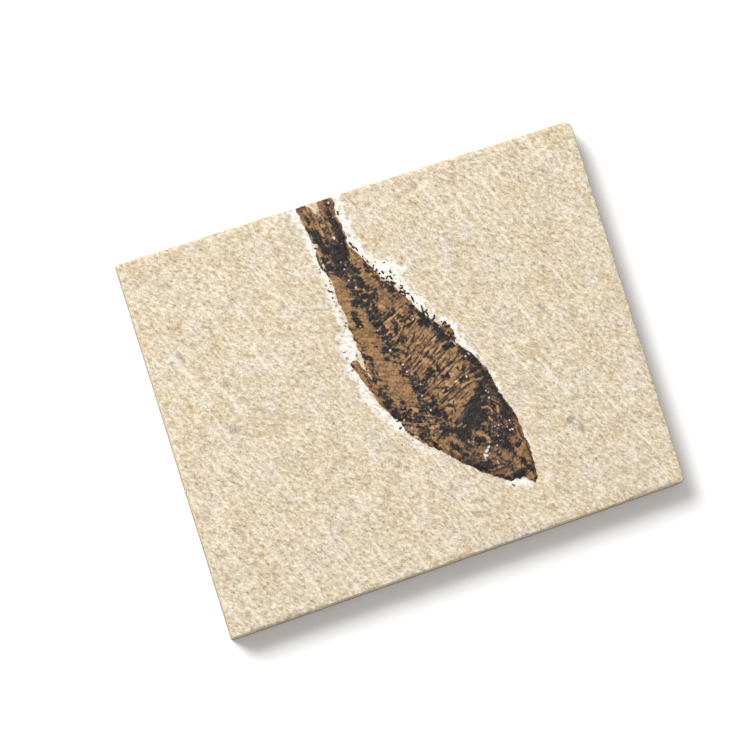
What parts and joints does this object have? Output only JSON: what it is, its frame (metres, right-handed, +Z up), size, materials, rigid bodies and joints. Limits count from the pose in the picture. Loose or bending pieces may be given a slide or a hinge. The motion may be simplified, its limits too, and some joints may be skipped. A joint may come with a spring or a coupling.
{
  "type": "fossil fish slab",
  "caption": "Rectangular sawn limestone plate, split face up, with a flattened fossil fish in low relief whose tail runs out at one long edge.",
  "frame": {"origin": "middle of the slab's flat underside", "axes": "+X along the slab's long side, +Y along its short side towards the edge that cuts off the tail, +Z up out of the split face that shows the fish"},
  "size_m": [0.1286, 0.1044, 0.0091],
  "materials": {
    "limestone": "split face, dry and grainy, scraped paler round the fish",
    "fossil_bone": "brown to black mineralised bone, satin"
  },
  "bodies": {
    "root": {"limestone_slab": "limestone", "fossil_fish": "fossil_bone"}
  },
  "joints": []
}
